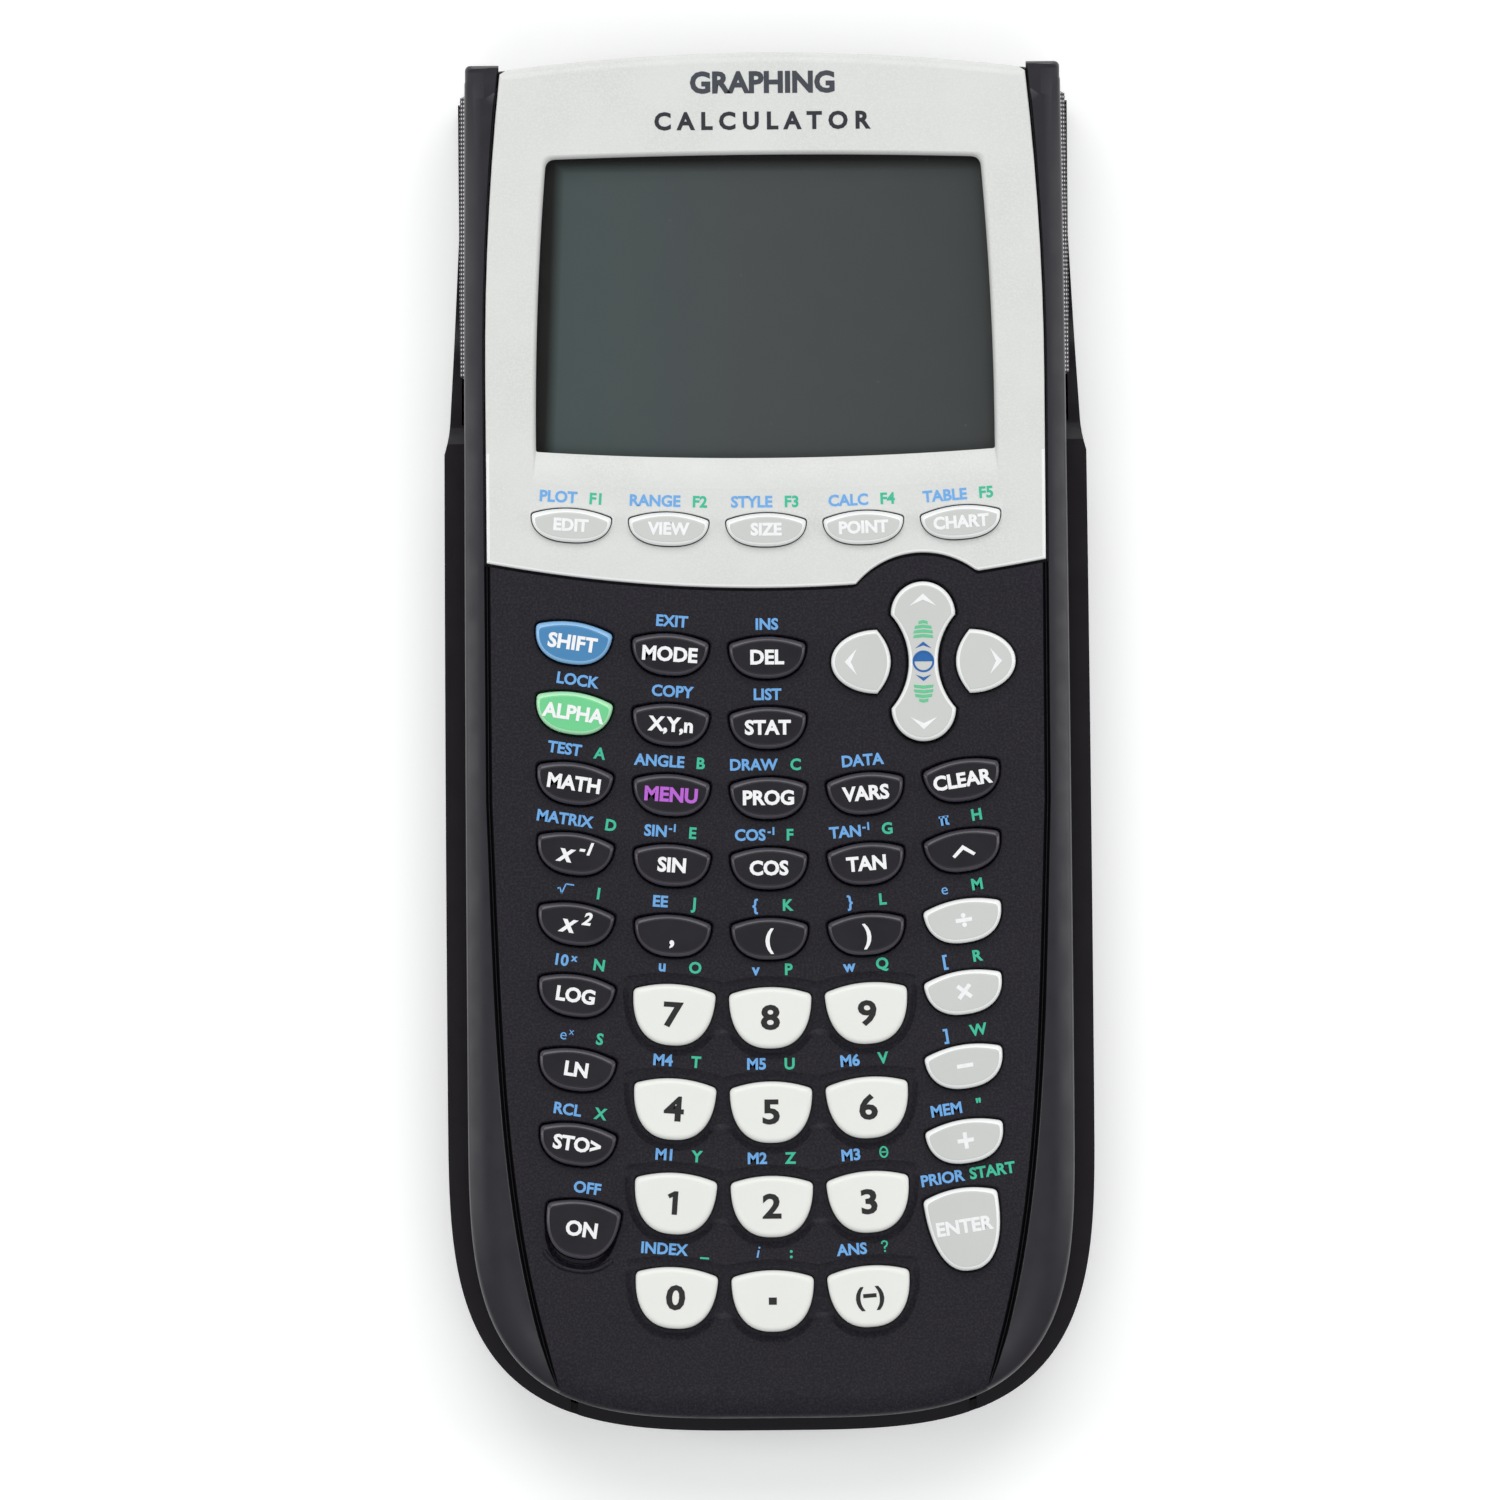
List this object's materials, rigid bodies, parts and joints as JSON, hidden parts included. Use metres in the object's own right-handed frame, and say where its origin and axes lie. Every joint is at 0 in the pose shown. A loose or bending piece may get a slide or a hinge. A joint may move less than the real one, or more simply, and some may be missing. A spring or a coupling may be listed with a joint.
{
  "type": "graphing calculator",
  "caption": "Handheld graphing calculator on its back, slide cover stored on the rear, with working keys, arrow pad, LCD, board and cells.",
  "frame": {"origin": "centre of the overall box at the surface the slide cover rests on", "axes": "+Z out of the display, +Y towards the display end, +X to the user's right"},
  "size_m": [0.0892, 0.19, 0.0256],
  "materials": {
    "cover_plastic": "satin",
    "dark_shell": "satin",
    "pale_shell": "satin",
    "window": "clear",
    "lcd_glass": "satin",
    "dark_keys": "satin",
    "pale_keys": "satin",
    "white_keys": "satin",
    "blue_key": "satin",
    "green_key": "satin",
    "circuit_board": "satin",
    "silicone": "matte",
    "cell_jacket": "gloss",
    "cell_steel": "satin"
  },
  "bodies": {
    "case": {"rear_housing": "dark_shell", "battery_door": "dark_shell", "battery_cells": "cell_jacket", "backup_cell": "cell_steel", "main_board": "circuit_board", "dome_sheet": "silicone", "lcd_module": "lcd_glass", "display_window": "window", "front_housing": "dark_shell", "faceplate": "pale_shell"},
    "cover": {"slide_cover": "cover_plastic"},
    "up_down": {"key_up_down": "pale_keys"},
    "f1_key": {"key_f1": "pale_keys"},
    "f2_key": {"key_f2": "pale_keys"},
    "f3_key": {"key_f3": "pale_keys"},
    "f4_key": {"key_f4": "pale_keys"},
    "f5_key": {"key_f5": "pale_keys"},
    "shift_key": {"key_shift": "blue_key"},
    "mode_key": {"key_mode": "dark_keys"},
    "delete_key": {"key_delete": "dark_keys"},
    "alpha_key": {"key_alpha": "green_key"},
    "variable_key": {"key_variable": "dark_keys"},
    "stats_key": {"key_stats": "dark_keys"},
    "math_key": {"key_math": "dark_keys"},
    "apps_key": {"key_apps": "dark_keys"},
    "program_key": {"key_program": "dark_keys"},
    "vars_key": {"key_vars": "dark_keys"},
    "clear_key": {"key_clear": "dark_keys"},
    "reciprocal_key": {"key_reciprocal": "dark_keys"},
    "sin_key": {"key_sin": "dark_keys"},
    "cos_key": {"key_cos": "dark_keys"},
    "tan_key": {"key_tan": "dark_keys"},
    "power_key": {"key_power": "dark_keys"},
    "square_key": {"key_square": "dark_keys"},
    "comma_key": {"key_comma": "dark_keys"},
    "open_bracket_key": {"key_open_bracket": "dark_keys"},
    "close_bracket_key": {"key_close_bracket": "dark_keys"},
    "divide_key": {"key_divide": "pale_keys"},
    "7_key": {"key_7": "white_keys"},
    "8_key": {"key_8": "white_keys"},
    "9_key": {"key_9": "white_keys"},
    "4_key": {"key_4": "white_keys"},
    "5_key": {"key_5": "white_keys"},
    "6_key": {"key_6": "white_keys"},
    "1_key": {"key_1": "white_keys"},
    "2_key": {"key_2": "white_keys"},
    "3_key": {"key_3": "white_keys"},
    "0_key": {"key_0": "white_keys"},
    "point_key": {"key_point": "white_keys"},
    "negative_key": {"key_negative": "white_keys"},
    "log_key": {"key_log": "dark_keys"},
    "ln_key": {"key_ln": "dark_keys"},
    "store_key": {"key_store": "dark_keys"},
    "multiply_key": {"key_multiply": "pale_keys"},
    "minus_key": {"key_minus": "pale_keys"},
    "plus_key": {"key_plus": "pale_keys"},
    "on_key": {"key_on": "dark_keys"},
    "enter_key": {"key_enter": "pale_keys"},
    "left_key": {"key_left": "pale_keys"},
    "right_key": {"key_right": "pale_keys"}
  },
  "joints": [
    {"name": "cover_slide", "type": "slide", "parent": "case", "child": "cover", "axis": [0, -1, 0], "range_m": [0, 0.2]},
    {"name": "up_down_rock", "type": "hinge", "parent": "case", "child": "up_down", "pos_m": [0.0215, 0.0109, 0.0214], "axis": [1, 0, 0], "range_deg": [-4, 4], "stiffness_Nm_per_rad": 0.08, "deforming": ["dome_sheet"]},
    {"name": "press_f1", "type": "slide", "parent": "case", "child": "f1_key", "axis": [0, 0, -1], "range_m": [0, 0.001], "stiffness_N_per_m": 1200, "deforming": ["dome_sheet"]},
    {"name": "press_f2", "type": "slide", "parent": "case", "child": "f2_key", "axis": [0, 0, -1], "range_m": [0, 0.001], "stiffness_N_per_m": 1200, "deforming": ["dome_sheet"]},
    {"name": "press_f3", "type": "slide", "parent": "case", "child": "f3_key", "axis": [0, 0, -1], "range_m": [0, 0.001], "stiffness_N_per_m": 1200, "deforming": ["dome_sheet"]},
    {"name": "press_f4", "type": "slide", "parent": "case", "child": "f4_key", "axis": [0, 0, -1], "range_m": [0, 0.001], "stiffness_N_per_m": 1200, "deforming": ["dome_sheet"]},
    {"name": "press_f5", "type": "slide", "parent": "case", "child": "f5_key", "axis": [0, 0, -1], "range_m": [0, 0.001], "stiffness_N_per_m": 1200, "deforming": ["dome_sheet"]},
    {"name": "press_shift", "type": "slide", "parent": "case", "child": "shift_key", "axis": [0, 0, -1], "range_m": [0, 0.001], "stiffness_N_per_m": 1200, "deforming": ["dome_sheet"]},
    {"name": "press_mode", "type": "slide", "parent": "case", "child": "mode_key", "axis": [0, 0, -1], "range_m": [0, 0.001], "stiffness_N_per_m": 1200, "deforming": ["dome_sheet"]},
    {"name": "press_delete", "type": "slide", "parent": "case", "child": "delete_key", "axis": [0, 0, -1], "range_m": [0, 0.001], "stiffness_N_per_m": 1200, "deforming": ["dome_sheet"]},
    {"name": "press_alpha", "type": "slide", "parent": "case", "child": "alpha_key", "axis": [0, 0, -1], "range_m": [0, 0.001], "stiffness_N_per_m": 1200, "deforming": ["dome_sheet"]},
    {"name": "press_variable", "type": "slide", "parent": "case", "child": "variable_key", "axis": [0, 0, -1], "range_m": [0, 0.001], "stiffness_N_per_m": 1200, "deforming": ["dome_sheet"]},
    {"name": "press_stats", "type": "slide", "parent": "case", "child": "stats_key", "axis": [0, 0, -1], "range_m": [0, 0.001], "stiffness_N_per_m": 1200, "deforming": ["dome_sheet"]},
    {"name": "press_math", "type": "slide", "parent": "case", "child": "math_key", "axis": [0, 0, -1], "range_m": [0, 0.001], "stiffness_N_per_m": 1200, "deforming": ["dome_sheet"]},
    {"name": "press_apps", "type": "slide", "parent": "case", "child": "apps_key", "axis": [0, 0, -1], "range_m": [0, 0.001], "stiffness_N_per_m": 1200, "deforming": ["dome_sheet"]},
    {"name": "press_program", "type": "slide", "parent": "case", "child": "program_key", "axis": [0, 0, -1], "range_m": [0, 0.001], "stiffness_N_per_m": 1200, "deforming": ["dome_sheet"]},
    {"name": "press_vars", "type": "slide", "parent": "case", "child": "vars_key", "axis": [0, 0, -1], "range_m": [0, 0.001], "stiffness_N_per_m": 1200, "deforming": ["dome_sheet"]},
    {"name": "press_clear", "type": "slide", "parent": "case", "child": "clear_key", "axis": [0, 0, -1], "range_m": [0, 0.001], "stiffness_N_per_m": 1200, "deforming": ["dome_sheet"]},
    {"name": "press_reciprocal", "type": "slide", "parent": "case", "child": "reciprocal_key", "axis": [0, 0, -1], "range_m": [0, 0.001], "stiffness_N_per_m": 1200, "deforming": ["dome_sheet"]},
    {"name": "press_sin", "type": "slide", "parent": "case", "child": "sin_key", "axis": [0, 0, -1], "range_m": [0, 0.001], "stiffness_N_per_m": 1200, "deforming": ["dome_sheet"]},
    {"name": "press_cos", "type": "slide", "parent": "case", "child": "cos_key", "axis": [0, 0, -1], "range_m": [0, 0.001], "stiffness_N_per_m": 1200, "deforming": ["dome_sheet"]},
    {"name": "press_tan", "type": "slide", "parent": "case", "child": "tan_key", "axis": [0, 0, -1], "range_m": [0, 0.001], "stiffness_N_per_m": 1200, "deforming": ["dome_sheet"]},
    {"name": "press_power", "type": "slide", "parent": "case", "child": "power_key", "axis": [0, 0, -1], "range_m": [0, 0.001], "stiffness_N_per_m": 1200, "deforming": ["dome_sheet"]},
    {"name": "press_square", "type": "slide", "parent": "case", "child": "square_key", "axis": [0, 0, -1], "range_m": [0, 0.001], "stiffness_N_per_m": 1200, "deforming": ["dome_sheet"]},
    {"name": "press_comma", "type": "slide", "parent": "case", "child": "comma_key", "axis": [0, 0, -1], "range_m": [0, 0.001], "stiffness_N_per_m": 1200, "deforming": ["dome_sheet"]},
    {"name": "press_open_bracket", "type": "slide", "parent": "case", "child": "open_bracket_key", "axis": [0, 0, -1], "range_m": [0, 0.001], "stiffness_N_per_m": 1200, "deforming": ["dome_sheet"]},
    {"name": "press_close_bracket", "type": "slide", "parent": "case", "child": "close_bracket_key", "axis": [0, 0, -1], "range_m": [0, 0.001], "stiffness_N_per_m": 1200, "deforming": ["dome_sheet"]},
    {"name": "press_divide", "type": "slide", "parent": "case", "child": "divide_key", "axis": [0, 0, -1], "range_m": [0, 0.001], "stiffness_N_per_m": 1200, "deforming": ["dome_sheet"]},
    {"name": "press_7", "type": "slide", "parent": "case", "child": "7_key", "axis": [0, 0, -1], "range_m": [0, 0.001], "stiffness_N_per_m": 1200, "deforming": ["dome_sheet"]},
    {"name": "press_8", "type": "slide", "parent": "case", "child": "8_key", "axis": [0, 0, -1], "range_m": [0, 0.001], "stiffness_N_per_m": 1200, "deforming": ["dome_sheet"]},
    {"name": "press_9", "type": "slide", "parent": "case", "child": "9_key", "axis": [0, 0, -1], "range_m": [0, 0.001], "stiffness_N_per_m": 1200, "deforming": ["dome_sheet"]},
    {"name": "press_4", "type": "slide", "parent": "case", "child": "4_key", "axis": [0, 0, -1], "range_m": [0, 0.001], "stiffness_N_per_m": 1200, "deforming": ["dome_sheet"]},
    {"name": "press_5", "type": "slide", "parent": "case", "child": "5_key", "axis": [0, 0, -1], "range_m": [0, 0.001], "stiffness_N_per_m": 1200, "deforming": ["dome_sheet"]},
    {"name": "press_6", "type": "slide", "parent": "case", "child": "6_key", "axis": [0, 0, -1], "range_m": [0, 0.001], "stiffness_N_per_m": 1200, "deforming": ["dome_sheet"]},
    {"name": "press_1", "type": "slide", "parent": "case", "child": "1_key", "axis": [0, 0, -1], "range_m": [0, 0.001], "stiffness_N_per_m": 1200, "deforming": ["dome_sheet"]},
    {"name": "press_2", "type": "slide", "parent": "case", "child": "2_key", "axis": [0, 0, -1], "range_m": [0, 0.001], "stiffness_N_per_m": 1200, "deforming": ["dome_sheet"]},
    {"name": "press_3", "type": "slide", "parent": "case", "child": "3_key", "axis": [0, 0, -1], "range_m": [0, 0.001], "stiffness_N_per_m": 1200, "deforming": ["dome_sheet"]},
    {"name": "press_0", "type": "slide", "parent": "case", "child": "0_key", "axis": [0, 0, -1], "range_m": [0, 0.001], "stiffness_N_per_m": 1200, "deforming": ["dome_sheet"]},
    {"name": "press_point", "type": "slide", "parent": "case", "child": "point_key", "axis": [0, 0, -1], "range_m": [0, 0.001], "stiffness_N_per_m": 1200, "deforming": ["dome_sheet"]},
    {"name": "press_negative", "type": "slide", "parent": "case", "child": "negative_key", "axis": [0, 0, -1], "range_m": [0, 0.001], "stiffness_N_per_m": 1200, "deforming": ["dome_sheet"]},
    {"name": "press_log", "type": "slide", "parent": "case", "child": "log_key", "axis": [0, 0, -1], "range_m": [0, 0.001], "stiffness_N_per_m": 1200, "deforming": ["dome_sheet"]},
    {"name": "press_ln", "type": "slide", "parent": "case", "child": "ln_key", "axis": [0, 0, -1], "range_m": [0, 0.001], "stiffness_N_per_m": 1200, "deforming": ["dome_sheet"]},
    {"name": "press_store", "type": "slide", "parent": "case", "child": "store_key", "axis": [0, 0, -1], "range_m": [0, 0.001], "stiffness_N_per_m": 1200, "deforming": ["dome_sheet"]},
    {"name": "press_multiply", "type": "slide", "parent": "case", "child": "multiply_key", "axis": [0, 0, -1], "range_m": [0, 0.001], "stiffness_N_per_m": 1200, "deforming": ["dome_sheet"]},
    {"name": "press_minus", "type": "slide", "parent": "case", "child": "minus_key", "axis": [0, 0, -1], "range_m": [0, 0.001], "stiffness_N_per_m": 1200, "deforming": ["dome_sheet"]},
    {"name": "press_plus", "type": "slide", "parent": "case", "child": "plus_key", "axis": [0, 0, -1], "range_m": [0, 0.001], "stiffness_N_per_m": 1200, "deforming": ["dome_sheet"]},
    {"name": "press_on", "type": "slide", "parent": "case", "child": "on_key", "axis": [0, 0, -1], "range_m": [0, 0.001], "stiffness_N_per_m": 1200, "deforming": ["dome_sheet"]},
    {"name": "press_enter", "type": "slide", "parent": "case", "child": "enter_key", "axis": [0, 0, -1], "range_m": [0, 0.001], "stiffness_N_per_m": 1200, "deforming": ["dome_sheet"]},
    {"name": "press_left", "type": "slide", "parent": "case", "child": "left_key", "axis": [0, 0, -1], "range_m": [0, 0.001], "stiffness_N_per_m": 1200, "deforming": ["dome_sheet"]},
    {"name": "press_right", "type": "slide", "parent": "case", "child": "right_key", "axis": [0, 0, -1], "range_m": [0, 0.001], "stiffness_N_per_m": 1200, "deforming": ["dome_sheet"]}
  ]
}
